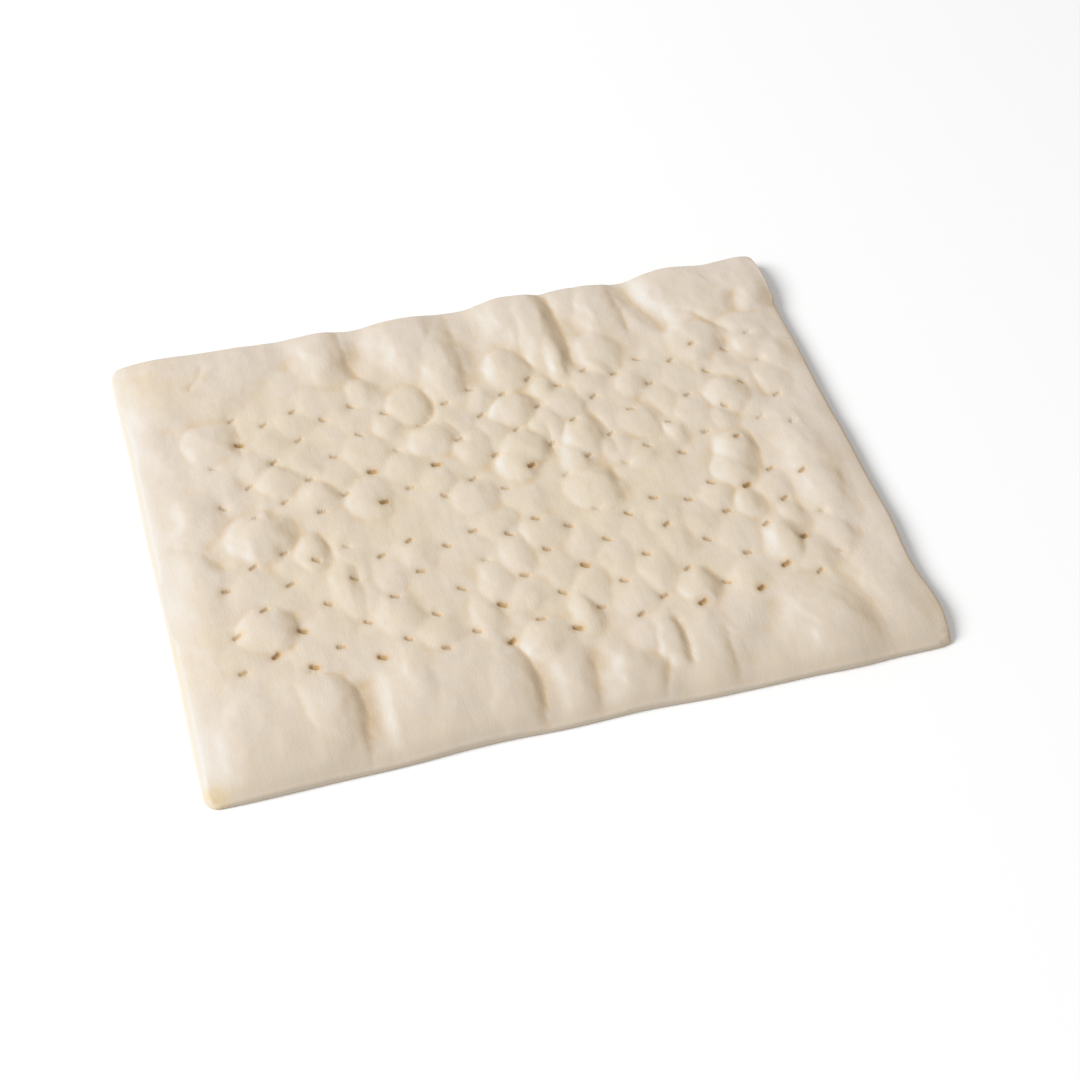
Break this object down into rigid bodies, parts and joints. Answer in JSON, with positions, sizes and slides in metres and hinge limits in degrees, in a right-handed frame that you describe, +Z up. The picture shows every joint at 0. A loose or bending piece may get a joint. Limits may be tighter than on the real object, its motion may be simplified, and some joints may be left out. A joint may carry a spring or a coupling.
{
  "type": "gluten-free pizza base",
  "caption": "Thin rectangular par-baked dough sheet with a soft rounded rim, low oven blisters, rows of small docking holes and a flat underside.",
  "frame": {"origin": "middle of the flat underside that the base rests on", "axes": "+X along the length of the sheet, +Y towards the edge that lies at the back, +Z up through the thickness"},
  "size_m": [0.3526, 0.2814, 0.0109],
  "materials": {
    "baked_dough": "matte pale cream par-baked dough with a floury grain and slightly toasted edges"
  },
  "bodies": {
    "root": {"pizza_base": "baked_dough"}
  },
  "joints": []
}
